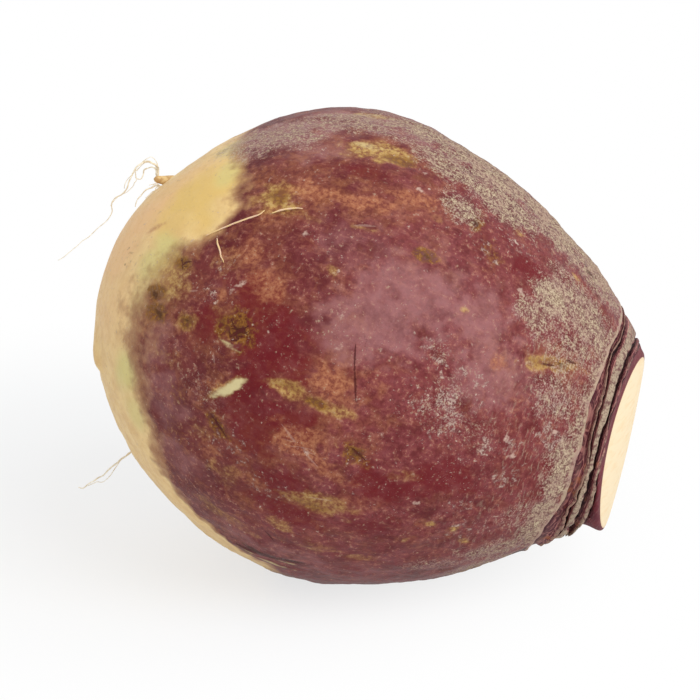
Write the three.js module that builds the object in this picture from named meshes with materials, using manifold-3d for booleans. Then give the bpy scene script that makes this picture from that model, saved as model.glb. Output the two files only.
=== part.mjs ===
// A rutabaga lying on its side, crown to the right (+X), on a small flat spot of its skin.
// Millimetres, +Z up. The origin is the middle of the flat spot.
//
// The swollen root is modelled along its own axis: "along" runs from the root end to the crown,
// with zero at the widest ring, and "around" is the angle about that axis, with 0 on top and 90
// on the near side (-Y). The whole root is then dipped toward the crown and set down.
import * as THREE from 'three';
import { mergeVertices } from 'three/addons/utils/BufferGeometryUtils.js';
import Module from 'manifold-3d';

const wasm = await Module();
wasm.setup();

// Driving dimensions.
const widestRadius = 57.5;
const rootEnd = 63.2; // from the widest ring to the root end
const crownReach = 81.8; // where the shoulder would close if it grew on past the cut
const crownDip = 19; // degrees that the axis dips toward the crown
const flatDepth = 1.1; // what the resting spot takes off the underside

const neck = { along: 72.4, radius: 22, taper: 0.72 }; // its radius at one place, and its slope

// The cut through the neck, where the leaves were taken off. It leans up and to the near side,
// bows back toward its sides and is wider where it meets the neck lower down.
const cut = {
  along: 72.9,
  radius: 22.3,
  lean: 0.24,
  leanTurn: 42,
  bow: 1.3,
  spread: 3.1,
  spreadTurn: 52,
};

// Rows of leaf scars around the neck, from the shoulder to the cut. Each row is a thin collar
// that ends in a wavy rim, with a groove under it. "turn" is where a wave reaches furthest.
const collars = [
  { along: 59.0, wave: 1.2, lobes: 4, turn: 8 },
  { along: 61.2, wave: 2.2, lobes: 2, turn: 112 },
  { along: 64.7, wave: 1.5, lobes: 2, turn: 146 },
  { along: 67.0, wave: 1.0, lobes: 2, turn: 130 },
];
const rimGap = 1.1; // the least room between two rims
const fullRimRoom = 3.2; // where rims stand closer than this, their grooves are shallower
const rimStandOut = 0.35; // of a rim, over the skin before it
const rimThickness = 0.9;
const grooveDepth = 2.6;
const grooveUndercut = 1.2; // how far a groove runs back under its rim
const beforeRim = 2.4; // between the plain shoulder and the first rim

// Swellings and hollows of the skin.
const lumps = [
  { along: -49, around: -20, height: -3, width: 11 },
  { along: -22, around: -20, height: 1.5, width: 20 },
  { along: 13, around: -20, height: -1.2, width: 13 },
  { along: 12, around: 165, height: 1.0, width: 18 },
  { along: 20, around: 205, height: 1.3, width: 22 },
  { along: 59, around: 165, height: -2.6, width: 13 },
  { along: 40, around: -20, height: -0.8, width: 9 },
  { along: 5, around: 75, height: 0.8, width: 26 },
  { along: -10, around: 255, height: -1.2, width: 24 },
  { along: 30, around: 290, height: 0.9, width: 20 },
  { along: -38, around: 225, height: 1.0, width: 16 },
];

// Stumps that stand out of the skin near the root end. "lean" turns them from straight out
// toward the root end, in degrees.
const sideRootStub = { along: -53.8, around: -19, length: 8, radius: 1.5, tip: 0.6, lean: 58 };
const rootPoint = { along: -57.4, around: 162, length: 1.9, radius: 3.2, tip: 0.9, lean: 0 };

// Fine side roots, each a list of places: along the axis, risen from it and near of it. Risen
// is measured square to the axis and to the near direction, which is turned 18 degrees up.
const nearTurn = 18;
const fineRoots = [
  {
    name: 'fine_root_long',
    thickness: 0.5,
    points: [
      [-58.8, 25.3, 0.5], [-59.4, 26.1, 0.8], [-60.6, 26.4, 1.1], [-62.2, 26.1, 1.3],
      [-63.6, 24.7, 1.2], [-64.4, 22.6, 1], [-64.6, 20.4, 0.7], [-64.4, 18.4, 0.4],
      [-65.2, 16.5, 0.2], [-66.6, 15.2, 0], [-66.8, 13.4, -0.3], [-66.1, 11.4, -0.5],
      [-66.9, 8.8, -0.7], [-68.8, 5.4, -1], [-71.6, 0.7, -1.4], [-74.8, -4.3, -2],
    ],
  },
  {
    name: 'fine_root_curl',
    thickness: 0.45,
    points: [
      [-59.2, 24.9, -1.3], [-60.1, 25.4, -1.6], [-61.2, 25.2, -2], [-62.2, 24.3, -2.2],
      [-62.1, 22.9, -2.1], [-62.4, 21.8, -1.8], [-63.4, 21.6, -1.5], [-63.9, 22.6, -1.4],
    ],
  },
  {
    name: 'fine_root_short',
    thickness: 0.5,
    points: [
      [-58.3, 21.4, 0], [-59, 20.6, 0.4], [-59.9, 19.5, 0.6], [-60.7, 18, 0.6],
      [-61.3, 16.3, 0.4], [-61.3, 14.8, 0],
    ],
  },
  {
    name: 'fine_root_straight',
    thickness: 0.5,
    points: [
      [-41, -43.6, 0], [-42.6, -45.8, 0.3], [-43.8, -47.6, 0.2], [-45.1, -49.9, 0],
      [-46.3, -51.9, -0.3], [-48.3, -54.3, -0.6], [-49.8, -56, -1], [-50.9, -55.9, -1.2],
    ],
  },
];

// Mesh steps.
const aroundSteps = 64;
const rootRings = 13;
const shoulderRings = 15;
const stubSides = 12;
const fineRootSides = 8;
const fineRootStep = 1.2; // along a fine root

const { PI, cos, sin, exp, hypot, max, min } = Math;
const degrees = PI / 180;

const skin = new THREE.MeshStandardMaterial({ color: '#7c3f47', roughness: 0.55, metalness: 0 });
const driedRoot = new THREE.MeshStandardMaterial({ color: '#c6a374', roughness: 0.8, metalness: 0 });

// Radius of the smooth root at a place along its axis.
function skinRadius(along) {
  if (along < 0) {
    return widestRadius * max(0, 1 - (along / rootEnd) ** 2) ** 0.53;
  }
  return widestRadius * (1 - (along / crownReach) ** 1.7) ** 0.62;
}

// The neck narrows more slowly than the shoulder curve, down to the cut.
function neckRadius(along) {
  const straightNeck = neck.radius + (neck.along - along) * neck.taper;
  return max(skinRadius(along), straightNeck);
}

function lumpHeight(along, around) {
  const radius = skinRadius(along);
  let height = 0.5 * cos(2 * around + along / 17) * sin((PI * radius) / (2 * widestRadius));
  for (const lump of lumps) {
    const turn = Math.atan2(sin(around - lump.around * degrees), cos(around - lump.around * degrees));
    const distance = hypot(along - lump.along, radius * turn);
    height += lump.height * exp(-((distance / lump.width) ** 2));
  }
  return height;
}

function cutRadius(around) {
  return cut.radius + cut.spread * cos(around - cut.spreadTurn * degrees);
}

function cutAlong(radius, around) {
  const lean = cut.lean * radius * cos(around - cut.leanTurn * degrees);
  const bow = cut.bow * ((radius * sin(around + nearTurn * degrees)) / cut.radius) ** 2;
  return cut.along - lean - bow;
}

// Where every rim lies at one angle around, and last the edge of the cut. The rims keep apart,
// and bunch together where the cut leans back over them.
function rimPlaces(around) {
  const places = [];
  for (const collar of collars) {
    const wavy = collar.along + collar.wave * cos(collar.lobes * (around - collar.turn * degrees));
    const nearest = places.length > 0 ? places.at(-1) + rimGap : wavy;
    places.push(max(wavy, nearest));
  }
  places.push(cutAlong(cutRadius(around), around));
  for (let i = places.length - 2; i >= 0; i -= 1) {
    places[i] = min(places[i], places[i + 1] - rimGap);
  }
  return places;
}

function pointOn(along, radius, around) {
  return new THREE.Vector3(along, -radius * sin(around), radius * cos(around));
}

function skinPoint(along, around) {
  return pointOn(along, skinRadius(along) + lumpHeight(along, around), around);
}

// Direction straight out of the skin.
function skinNormal(along, around) {
  const step = 0.5;
  const forward = skinPoint(along + step, around).sub(skinPoint(along - step, around));
  const turn = step / widestRadius;
  const sideways = skinPoint(along, around + turn).sub(skinPoint(along, around - turn));
  return sideways.cross(forward).normalize();
}

// One ring is a function from the angle around to a point.
function shoulderStrip(count) {
  const rings = [];
  for (let i = 1; i <= count; i += 1) {
    rings.push((around) => {
      const end = rimPlaces(around)[0] - beforeRim;
      return skinPoint((end * i) / count, around);
    });
  }
  return rings;
}

function rootEndRings(count) {
  const rings = [];
  for (let i = 1; i <= count; i += 1) {
    const along = -rootEnd * cos((i / count) * 90 * degrees);
    rings.push((around) => skinPoint(along, around));
  }
  return rings;
}

function collarRings(index) {
  const stations = [
    [0, rimStandOut],
    [0.35, rimStandOut - rimThickness],
    [-grooveUndercut, -grooveDepth],
    [0.5, -grooveDepth + 0.7],
  ];
  return stations.map(([ahead, height]) => (around) => {
    const places = rimPlaces(around);
    const along = places[index];
    const relief = min(1, (places[index + 1] - along) / fullRimRoom);
    const radius = neckRadius(along) + 0.6 * lumpHeight(along, around) + height * relief;
    return pointOn(along + ahead * relief, radius, around);
  });
}

function cutRings() {
  const shares = [1, 0.66, 0.33];
  return shares.map((share) => (around) => {
    const radius = cutRadius(around) * share;
    return pointOn(cutAlong(radius, around), radius, around);
  });
}

// A closed skin through all the rings, from the root end to the middle of the cut.
function ringedGeometry(rings, firstPoint, lastPoint) {
  const positions = [...firstPoint.toArray()];
  for (const ring of rings) {
    for (let k = 0; k < aroundSteps; k += 1) {
      positions.push(...ring((k / aroundSteps) * 2 * PI).toArray());
    }
  }
  positions.push(...lastPoint.toArray());
  const last = rings.length * aroundSteps + 1;
  const index = [];
  for (let k = 0; k < aroundSteps; k += 1) {
    const next = (k + 1) % aroundSteps;
    index.push(0, 1 + next, 1 + k);
    for (let i = 0; i < rings.length - 1; i += 1) {
      const here = 1 + i * aroundSteps;
      const ahead = here + aroundSteps;
      index.push(here + k, ahead + next, ahead + k);
      index.push(here + k, here + next, ahead + next);
    }
    const edge = last - aroundSteps;
    index.push(edge + k, edge + next, last);
  }
  const geometry = new THREE.BufferGeometry();
  geometry.setAttribute('position', new THREE.Float32BufferAttribute(positions, 3));
  geometry.setIndex(index);
  return geometry;
}

// A blunt tapering finger that starts inside the skin and leans toward the root end.
function stubAxis(stub) {
  const base = skinPoint(stub.along, stub.around * degrees);
  const normal = skinNormal(stub.along, stub.around * degrees);
  const toRootEnd = new THREE.Vector3(-1, 0, 0);
  toRootEnd.addScaledVector(normal, -toRootEnd.dot(normal)).normalize();
  const direction = normal.multiplyScalar(cos(stub.lean * degrees));
  direction.addScaledVector(toRootEnd, sin(stub.lean * degrees));
  return { base, direction };
}

function stubGeometry(stub) {
  const buried = 3;
  const profile = new THREE.Path();
  profile.moveTo(0, -buried);
  profile.lineTo(stub.radius * 1.25, -buried);
  profile.quadraticCurveTo(stub.radius * 0.8, stub.length * 0.35, stub.tip, stub.length * 0.85);
  profile.quadraticCurveTo(stub.tip * 0.9, stub.length, 0, stub.length);
  const geometry = new THREE.LatheGeometry(profile.getPoints(5), stubSides);
  const { base, direction } = stubAxis(stub);
  const up = new THREE.Vector3(0, 1, 0);
  geometry.applyQuaternion(new THREE.Quaternion().setFromUnitVectors(up, direction));
  return geometry.translate(...base.toArray());
}

function toManifold(geometry) {
  const bare = geometry.clone();
  bare.deleteAttribute('normal');
  bare.deleteAttribute('uv');
  const merged = mergeVertices(bare, 1e-4);
  return new wasm.Manifold(new wasm.Mesh({
    numProp: 3,
    vertProperties: new Float32Array(merged.attributes.position.array),
    triVerts: new Uint32Array(merged.index.array),
  }));
}

function fromManifold(solid) {
  const mesh = solid.getMesh();
  const geometry = new THREE.BufferGeometry();
  geometry.setAttribute('position', new THREE.BufferAttribute(mesh.vertProperties, 3));
  geometry.setIndex(new THREE.BufferAttribute(mesh.triVerts, 1));
  return geometry;
}

function swollenRoot() {
  const rings = [
    ...rootEndRings(rootRings),
    ...shoulderStrip(shoulderRings),
    ...collars.flatMap((_, index) => collarRings(index)),
    ...cutRings(),
  ];
  const firstPoint = skinPoint(-rootEnd, 0);
  const lastPoint = pointOn(cutAlong(0, 0), 0, 0);
  return toManifold(ringedGeometry(rings, firstPoint, lastPoint))
    .add(toManifold(stubGeometry(sideRootStub)))
    .add(toManifold(stubGeometry(rootPoint)));
}

// Takes the resting spot off the underside. The root keeps its own axis, so the block that
// cuts it is turned instead, and "seat" is where the axis goes once the root is set down.
function setDown(root) {
  const turned = fromManifold(root).rotateY(crownDip * degrees);
  turned.computeBoundingBox();
  const seat = new THREE.Vector3(0, 0, -turned.boundingBox.min.z - flatDepth);
  const blockSize = 200;
  const below = new THREE.BoxGeometry(blockSize, blockSize, blockSize);
  below.translate(0, 0, -blockSize / 2).translate(0, 0, -seat.z).rotateY(-crownDip * degrees);
  const geometry = fromManifold(root.subtract(toManifold(below)));
  const middle = middleOfSpot(geometry.clone().rotateY(crownDip * degrees), -seat.z);
  seat.x = -middle.x;
  seat.y = -middle.y;
  return { geometry, seat };
}

function middleOfSpot(geometry, height) {
  const spot = new THREE.Box3();
  const corner = new THREE.Vector3();
  const places = geometry.attributes.position;
  for (let i = 0; i < places.count; i += 1) {
    corner.fromBufferAttribute(places, i);
    if (corner.z < height + 0.001) {
      spot.expandByPoint(corner);
    }
  }
  return spot.getCenter(new THREE.Vector3());
}

function fineRootGeometry(fineRoot) {
  const turn = nearTurn * degrees;
  const points = fineRoot.points.map(([along, risen, near]) => new THREE.Vector3(
    along,
    risen * sin(turn) - near * cos(turn),
    risen * cos(turn) + near * sin(turn),
  ));
  const path = new THREE.CatmullRomCurve3(points);
  const section = new THREE.Shape();
  section.absarc(0, 0, fineRoot.thickness / 2, 0, 2 * PI);
  return new THREE.ExtrudeGeometry(section, {
    extrudePath: path,
    steps: Math.ceil(path.getLength() / fineRootStep),
    curveSegments: fineRootSides,
  });
}

function namedMesh(name, geometry, material) {
  const mesh = new THREE.Mesh(geometry, material);
  mesh.name = name;
  return mesh;
}

const { geometry: rootGeometry, seat } = setDown(swollenRoot());

const rutabaga = new THREE.Group();
rutabaga.rotation.y = crownDip * degrees;
rutabaga.position.copy(seat);
rutabaga.add(namedMesh('rutabaga_root', rootGeometry, skin));
for (const fineRoot of fineRoots) {
  rutabaga.add(namedMesh(fineRoot.name, fineRootGeometry(fineRoot), driedRoot));
}

export default rutabaga;
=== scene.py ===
# A rutabaga lying on its side: the purple skin with its yellow root end, the neck with its rows
# of leaf scars and the pale cut, and the dry side roots. Shapes are worked out in millimetres on
# the root's own axis: "along" runs from the root end to the crown with zero at the widest ring,
# "around" is the angle about the axis in degrees, with 0 on top and 90 on the near side.
import bpy
import math
import numpy as np
from mathutils import Matrix, Vector, noise


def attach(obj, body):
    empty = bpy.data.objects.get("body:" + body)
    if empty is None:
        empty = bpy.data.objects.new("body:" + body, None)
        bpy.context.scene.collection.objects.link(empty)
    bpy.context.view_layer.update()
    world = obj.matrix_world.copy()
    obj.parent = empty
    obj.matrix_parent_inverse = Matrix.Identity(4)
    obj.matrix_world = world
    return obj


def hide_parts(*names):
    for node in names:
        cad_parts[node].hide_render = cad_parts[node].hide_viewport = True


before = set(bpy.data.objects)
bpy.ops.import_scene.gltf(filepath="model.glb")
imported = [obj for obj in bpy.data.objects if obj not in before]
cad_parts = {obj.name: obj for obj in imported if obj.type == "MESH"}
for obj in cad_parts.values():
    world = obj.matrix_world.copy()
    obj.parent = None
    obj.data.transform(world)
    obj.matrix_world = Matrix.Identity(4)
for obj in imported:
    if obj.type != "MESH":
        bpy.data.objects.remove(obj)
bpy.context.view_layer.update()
mm = 0.001
print("frame loaded")

# the root's shape, with the same values as the solid
rootShape = {
    "widestRadius": 57.5,
    "rootEnd": 63.2, "endRound": 0.53,
    "crownReach": 81.8, "crownTaper": 1.7, "crownRound": 0.62,
    "crownDip": 19,
    "seat": (-3.2, 0.4, 57.6), "press": 0.6,
}
neckShape = {"along": 72.4, "radius": 22, "taper": 0.72}
cutShape = {
    "along": 72.9, "radius": 22.3, "lean": 0.24, "leanTurn": 42, "bow": 1.3, "bowTurn": -18,
    "spread": 3.1, "spreadTurn": 52, "dome": 0.8,
}
# each rim is modelled as the plain ring at "ring" and then carried to its own wavy place
collars = [
    {"ring": 57.0, "along": 59.0, "wave": 1.2, "lobes": 4, "turn": 8},
    {"ring": 60.4, "along": 61.2, "wave": 2.2, "lobes": 2, "turn": 112, "breadth": 0.3, "pale": 0.25},
    {"ring": 64.6, "along": 64.7, "wave": 1.5, "lobes": 2, "turn": 146, "breadth": 2.5, "pale": 1.0},
    {"ring": 67.8, "along": 67.0, "wave": 1.0, "lobes": 2, "turn": 130, "breadth": 0.6, "pale": 0.8},
]
rimGap = 1.1
rimRadius = 28.0
# the rims lie flat against one another on top, and the last one shows only low down
rimLie = {
    "top": -8, "spread": 0.65, "flattened": 0.65, "low": 170, "lowEdge": (-0.1, 0.6), "lastFaded": 0.75,
}
# the torn rims fray more low down and less on top, within this reach of each rim; each fraying has
# the size of its lumps, its height and its seed
rimFray = {
    "low": 150, "lowSpread": 0.7, "lowMore": 0.5, "top": -8, "topSpread": 0.6, "topLess": 0.8, "reach": 1.2,
    "astray": [(9, 0.5, 1), (2.4, 0.28, 11)],
    "outwards": [(5, 0.3, 21), (1.7, 0.2, 31)],
}
# the underside draws in before the leaf scars, and the valley behind the first rim is shallow there
underside = {
    "around": 168, "spread": 0.6,
    "drawnIn": 1.3, "starts": (42, 56), "ends": (65, 68.5),
    "valleyFilled": 1.0, "valleyStarts": (56.6, 57.8), "valleyEnds": (59.2, 60.2),
}
# the root is a little oval, and the oval twists along it
ovalShape = {"height": 0.5, "twist": 17}
# low lumps: along, around, height, width
lumps = [
    (-49, -20, -3, 11), (-22, -20, 1.5, 20), (13, -20, -1.2, 13), (12, 165, 1, 18), (20, 205, 1.3, 22),
    (59, 165, -2.6, 13), (40, -20, -0.8, 9), (5, 75, 0.8, 26), (-10, 255, -1.2, 24), (30, 290, 0.9, 20),
    (-38, 225, 1, 16),
]


def skinRadius(along):
    along = np.asarray(along, float)
    back = np.clip(1 - (along / rootShape["rootEnd"]) ** 2, 0, 1) ** rootShape["endRound"]
    front = 1 - (np.abs(along) / rootShape["crownReach"]) ** rootShape["crownTaper"]
    front = np.clip(front, 0, 1) ** rootShape["crownRound"]
    return rootShape["widestRadius"] * np.where(along < 0, back, front)


def neckRadius(along):
    straightNeck = neckShape["radius"] + (neckShape["along"] - along) * neckShape["taper"]
    return np.maximum(skinRadius(along), straightNeck)


def turnFrom(around, other):
    # signed angle from one place round the axis to another, in radians
    turn = np.radians(around - other)
    return np.arctan2(np.sin(turn), np.cos(turn))


def aboutTurn(around, middle, spread):
    # one at an angle about the axis, fading out on both sides of it
    return np.exp(-((turnFrom(around, middle) / spread) ** 2))


def lumpHeight(along, around):
    radius = skinRadius(along)
    swell = np.sin(math.pi * radius / (2 * rootShape["widestRadius"]))
    height = ovalShape["height"] * np.cos(2 * np.radians(around) + along / ovalShape["twist"]) * swell
    for lumpAlong, lumpAround, lumpSize, width in lumps:
        distance = np.hypot(along - lumpAlong, radius * turnFrom(around, lumpAround))
        height = height + lumpSize * np.exp(-((distance / width) ** 2))
    return height


def cutAlong(radius, around):
    lean = cutShape["lean"] * radius * np.cos(turnFrom(around, cutShape["leanTurn"]))
    bow = cutShape["bow"] * (radius * np.sin(turnFrom(around, cutShape["bowTurn"])) / cutShape["radius"]) ** 2
    return cutShape["along"] - lean - bow


def cutRadius(around):
    return cutShape["radius"] + cutShape["spread"] * np.cos(turnFrom(around, cutShape["spreadTurn"]))


def rimPlaces(around):
    # the rims keep apart, and bunch together where the cut leans back over them
    places = []
    for collar in collars:
        place = collar["along"] + collar["wave"] * np.cos(collar["lobes"] * turnFrom(around, collar["turn"]))
        if places:
            place = np.maximum(place, places[-1] + rimGap)
        places.append(place)
    limit = cutAlong(cutRadius(around), around)
    for index in reversed(range(len(places))):
        limit = np.minimum(places[index], limit - rimGap)
        places[index] = limit
    return places


def rimRelief(ring, around):
    # how much of its height a rim keeps
    relief = 1 - rimLie["flattened"] * aboutTurn(around, rimLie["top"], rimLie["spread"])
    last = smoothStep(ring, collars[-2]["ring"] + 0.6, collars[-1]["ring"] - 0.8)
    high = 1 - smoothStep(np.cos(turnFrom(around, rimLie["low"])), *rimLie["lowEdge"])
    return relief * (1 - rimLie["lastFaded"] * last * high)


def tucked(ring, around):
    place = smoothStep(ring, *underside["starts"]) * (1 - smoothStep(ring, *underside["ends"]))
    return underside["drawnIn"] * place * aboutTurn(around, underside["around"], underside["spread"])


def smoothStep(value, low, high):
    share = np.clip((value - low) / (high - low), 0, 1)
    return share * share * (3 - 2 * share)


def onAxis(places):
    # along, radius and around of points that are still on the plain axis
    around = np.degrees(np.arctan2(-places[:, 1], places[:, 2]))
    return places[:, 0], np.hypot(places[:, 1], places[:, 2]), around


def placesOnAxis(along, radius, around):
    angle = np.radians(around)
    return np.stack([along, -radius * np.sin(angle), radius * np.cos(angle)], axis=1)


def setDown(places):
    # dips the axis, lifts the root to its seat and flattens the resting spot; metres come out
    dip = math.radians(rootShape["crownDip"])
    x = places[:, 0] * math.cos(dip) + places[:, 2] * math.sin(dip)
    z = -places[:, 0] * math.sin(dip) + places[:, 2] * math.cos(dip)
    world = np.stack([x, places[:, 1], z], axis=1) + np.array(rootShape["seat"])
    press = rootShape["press"]
    height = world[:, 2]
    world[:, 2] = np.where(height < press, np.clip(height + press, 0, None) ** 2 / (4 * press), height)
    return world * mm


def noiseField(places, size, seed, octaves=1):
    # smooth noise of about -1 to 1 whose lumps are "size" millimetres across
    shift = Vector((seed * 17.3, seed * 5.1, seed * 9.7))
    values = np.empty(len(places))
    for i, place in enumerate(places / size):
        point = Vector(place) + shift
        total = noise.noise(point)
        strength = 0.5
        for _ in range(octaves - 1):
            point = point * 2.03
            total += strength * noise.noise(point)
            strength *= 0.5
        values[i] = total
    return values * 1.6


def deselectAll():
    bpy.ops.object.select_all(action="DESELECT")


def ringModel(name, stations, sides):
    # a ring of vertices, extruded and scaled from station to station along the axis
    deselectAll()
    along, radius = stations[0]
    bpy.ops.mesh.primitive_circle_add(vertices=sides, radius=radius * mm, location=(along * mm, 0, 0),
                                      rotation=(0, math.pi / 2, 0))
    piece = bpy.context.object
    piece.name = name
    piece.data.name = name
    bpy.ops.object.transform_apply(location=True, rotation=True, scale=True)
    bpy.ops.object.mode_set(mode="EDIT")
    bpy.ops.mesh.select_all(action="SELECT")
    for (fromAlong, fromRadius), (toAlong, toRadius) in zip(stations, stations[1:]):
        step = ((toAlong - fromAlong) * mm, 0, 0)
        bpy.ops.mesh.extrude_region_move(TRANSFORM_OT_translate={"value": step})
        grow = toRadius / fromRadius
        bpy.ops.transform.resize(value=(1, grow, grow), center_override=(toAlong * mm, 0, 0))
    bpy.ops.mesh.merge(type="CENTER")
    bpy.ops.mesh.select_all(action="DESELECT")
    bpy.ops.object.mode_set(mode="OBJECT")
    for vertex in piece.data.vertices[:sides]:
        vertex.select = True
    bpy.ops.object.mode_set(mode="EDIT")
    bpy.ops.mesh.merge(type="CENTER")
    bpy.ops.mesh.select_all(action="SELECT")
    bpy.ops.mesh.normals_make_consistent(inside=False)
    bpy.ops.object.mode_set(mode="OBJECT")
    return piece


def smoothDivide(piece, levels):
    deselectAll()
    piece.select_set(True)
    bpy.context.view_layer.objects.active = piece
    bpy.ops.object.modifier_add(type="SUBSURF")
    divide = piece.modifiers[-1]
    divide.levels = levels
    divide.render_levels = levels
    bpy.ops.object.modifier_apply(modifier=divide.name)
    bpy.ops.object.shade_smooth()


def readPlaces(piece):
    places = np.empty(len(piece.data.vertices) * 3)
    piece.data.vertices.foreach_get("co", places)
    return places.reshape(-1, 3) / mm


def writePlaces(piece, places):
    piece.data.vertices.foreach_set("co", places.ravel())
    piece.data.update()


def storeValues(piece, name, values):
    attribute = piece.data.attributes.new(name, "FLOAT", "POINT")
    attribute.data.foreach_set("value", values.astype(np.float32))


def storeMask(piece, name, values):
    storeValues(piece, name, np.clip(values, 0, 1))


def finishPiece(piece, replaced=None):
    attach(piece, "root")
    if replaced:
        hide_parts(replaced)


# the skin runs from the root end to its curled lip at the first leaf scar, then turns inwards. It
# has a pointed bump at the root end and a flatter place where the stub grows
skinPiece = {
    "sides": 112,
    "endRings": 20,
    "shoulderRings": 21,
    "lip": [(-1.5, -0.1), (-0.7, 0.0), (-0.2, 0.3), (0.12, 0.25), (0.22, -0.25), (-0.2, -1.0), (-1.2, -1.9),
            (-3.0, -3.4), (-5.5, -8.0)],
    "buried": (-7, 2.0),
    "tipClear": (0.985, 0.0235),
    "frayShare": 0.6,
    "lumpsFade": 0.4, "fadeOver": (40, 57),
    "rootPoint": {"along": -57, "around": 134, "width": 2.6, "height": 3.0},
    "stubHollow": {"along": -52.5, "around": 6, "width": 6.5, "height": -1.7},
}
# the neck inside it: a row of leaf scars, each a raised rim with a groove behind it, and the stump
neckPiece = {
    "sides": 112,
    "inside": (-7.2, 2.0),
    "crestAt": -0.5, "crestHeight": 0.45,
    "deepest": -5, "lumpShare": 0.6, "stumpAfter": 0.8, "cutWithin": 0.03, "cutInside": 21.9,
    "axisClear": 0.02,
    "firstSlope": [(-6.5, -12.0), (-5.5, -6.0), (-3.6, -4.0), (-2.0, -2.8), (-0.9, -1.9), (0.1, -1.6),
                   (0.9, -1.3)],
    "rimSlope": [(-1.0, -1.5), (-0.55, -0.7), (-0.1, 0.1)],
    "rimFront": [(0.1, 0.42), (0.25, -0.2), (0.1, -1.2), (-0.2, -2.2), (0.0, -2.8), (0.5, -2.6)],
    "stump": [(69.2, 22.9), (70.6, 22.6), (71.6, 22.3), (72.2, 21.95), (72.4, 21.5), (72.4, 20), (72.4, 16),
              (72.4, 11), (72.4, 6), (72.4, 2.5), (72.4, 0.8)],
}


def skinStations():
    stations = []
    turnShare, firstTurn = skinPiece["tipClear"]  # the first ring keeps clear of the very tip
    for k in range(1, skinPiece["endRings"] + 1):
        angle = math.radians(90 * k / skinPiece["endRings"])
        along = -rootShape["rootEnd"] * math.cos(angle * turnShare + firstTurn)
        stations.append((along, float(skinRadius(along))))
    rim = collars[0]["ring"]
    start = skinPiece["lip"][0][0]
    for k in range(1, skinPiece["shoulderRings"]):
        along = (rim + start) * k / skinPiece["shoulderRings"]
        stations.append((along, float(skinRadius(along))))
    for ahead, height in skinPiece["lip"]:
        stations.append((rim + ahead, float(neckRadius(rim)) + height - neckShape["taper"] * min(ahead, 0)))
    stations.append((rim + skinPiece["buried"][0], skinPiece["buried"][1]))
    return stations


def neckStations():
    rim = collars[0]["ring"]
    stations = [(rim + neckPiece["inside"][0], neckPiece["inside"][1])]
    for ahead, height in neckPiece["firstSlope"]:
        stations.append((rim + ahead, float(neckRadius(rim + ahead)) + height))
    for collar in collars[1:]:
        profile = [(ahead - collar["breadth"], height) for ahead, height in neckPiece["rimSlope"]]
        profile += [(neckPiece["crestAt"] * collar["breadth"], neckPiece["crestHeight"])]
        profile += neckPiece["rimFront"]
        for ahead, height in profile:
            stations.append((collar["ring"] + ahead, float(neckRadius(collar["ring"] + ahead)) + height))
    return stations + neckPiece["stump"]


def carried(ring, radius, around):
    # carries every ring with the rims on either side of it
    starts = [collar["ring"] for collar in collars] + [neckShape["along"]]
    ends = rimPlaces(around) + [cutAlong(radius, around)]
    share = np.clip(ring / starts[0], 0, 1) ** 3
    along = ring + (ends[0] - starts[0]) * share
    for low, high, lowEnd, highEnd in zip(starts, starts[1:], ends, ends[1:]):
        share = (ring - low) / (high - low)
        along = np.where(ring > low, lowEnd + (highEnd - lowEnd) * share, along)
    return along


def ragged(around, size, seed):
    # unevenness round a rim, in lumps of about "size" millimetres
    reach = rimRadius / size
    angle = np.radians(around)
    apart = np.full_like(around, seed * 3.7)
    points = np.stack([np.cos(angle) * reach, np.sin(angle) * reach, apart], axis=1)
    return noiseField(points, 1.0, seed, octaves=2)


def frayed(around, kind, index):
    return sum(height * ragged(around, size, index + seed) for size, height, seed in rimFray[kind])


def raggedRims(along, around, firstCollar):
    # how far the torn rims stray along the axis and outwards
    fray = 1 + rimFray["lowMore"] * aboutTurn(around, rimFray["low"], rimFray["lowSpread"])
    fray = fray - rimFray["topLess"] * aboutTurn(around, rimFray["top"], rimFray["topSpread"])
    astray = np.zeros_like(around)
    outwards = np.zeros_like(around)
    for index, collar in enumerate(collars[firstCollar:], firstCollar):
        near = np.exp(-(((along - collar["ring"]) / rimFray["reach"]) ** 2))
        astray += near * fray * frayed(around, "astray", index)
        outwards += near * fray * frayed(around, "outwards", index)
    return astray, outwards


def nearPlace(along, around, radius, place):
    distance = np.hypot(along - place["along"], radius * turnFrom(around, place["around"]))
    return np.exp(-((distance / place["width"]) ** 2))


skin = ringModel("rutabaga_skin", skinStations(), skinPiece["sides"])
smoothDivide(skin, 2)
skinRing, skinGrown, skinAround = onAxis(readPlaces(skin))
skinAstray, skinOutwards = raggedRims(skinRing, skinAround, 0)
skinAlong = carried(skinRing, skinGrown, skinAround) + skinPiece["frayShare"] * skinAstray
skinGrown = skinGrown + neckRadius(skinAlong) - neckRadius(skinRing) + skinPiece["frayShare"] * skinOutwards
fading = 1 - skinPiece["lumpsFade"] * smoothStep(skinRing, *skinPiece["fadeOver"])
skinGrown = skinGrown + lumpHeight(skinAlong, skinAround) * fading
skinGrown = skinGrown - tucked(skinRing, skinAround)
for bump in (skinPiece["rootPoint"], skinPiece["stubHollow"]):
    skinGrown = skinGrown + bump["height"] * nearPlace(skinAlong, skinAround, skinGrown, bump)
print("skin modelled:", len(skin.data.polygons), "faces")

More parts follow.
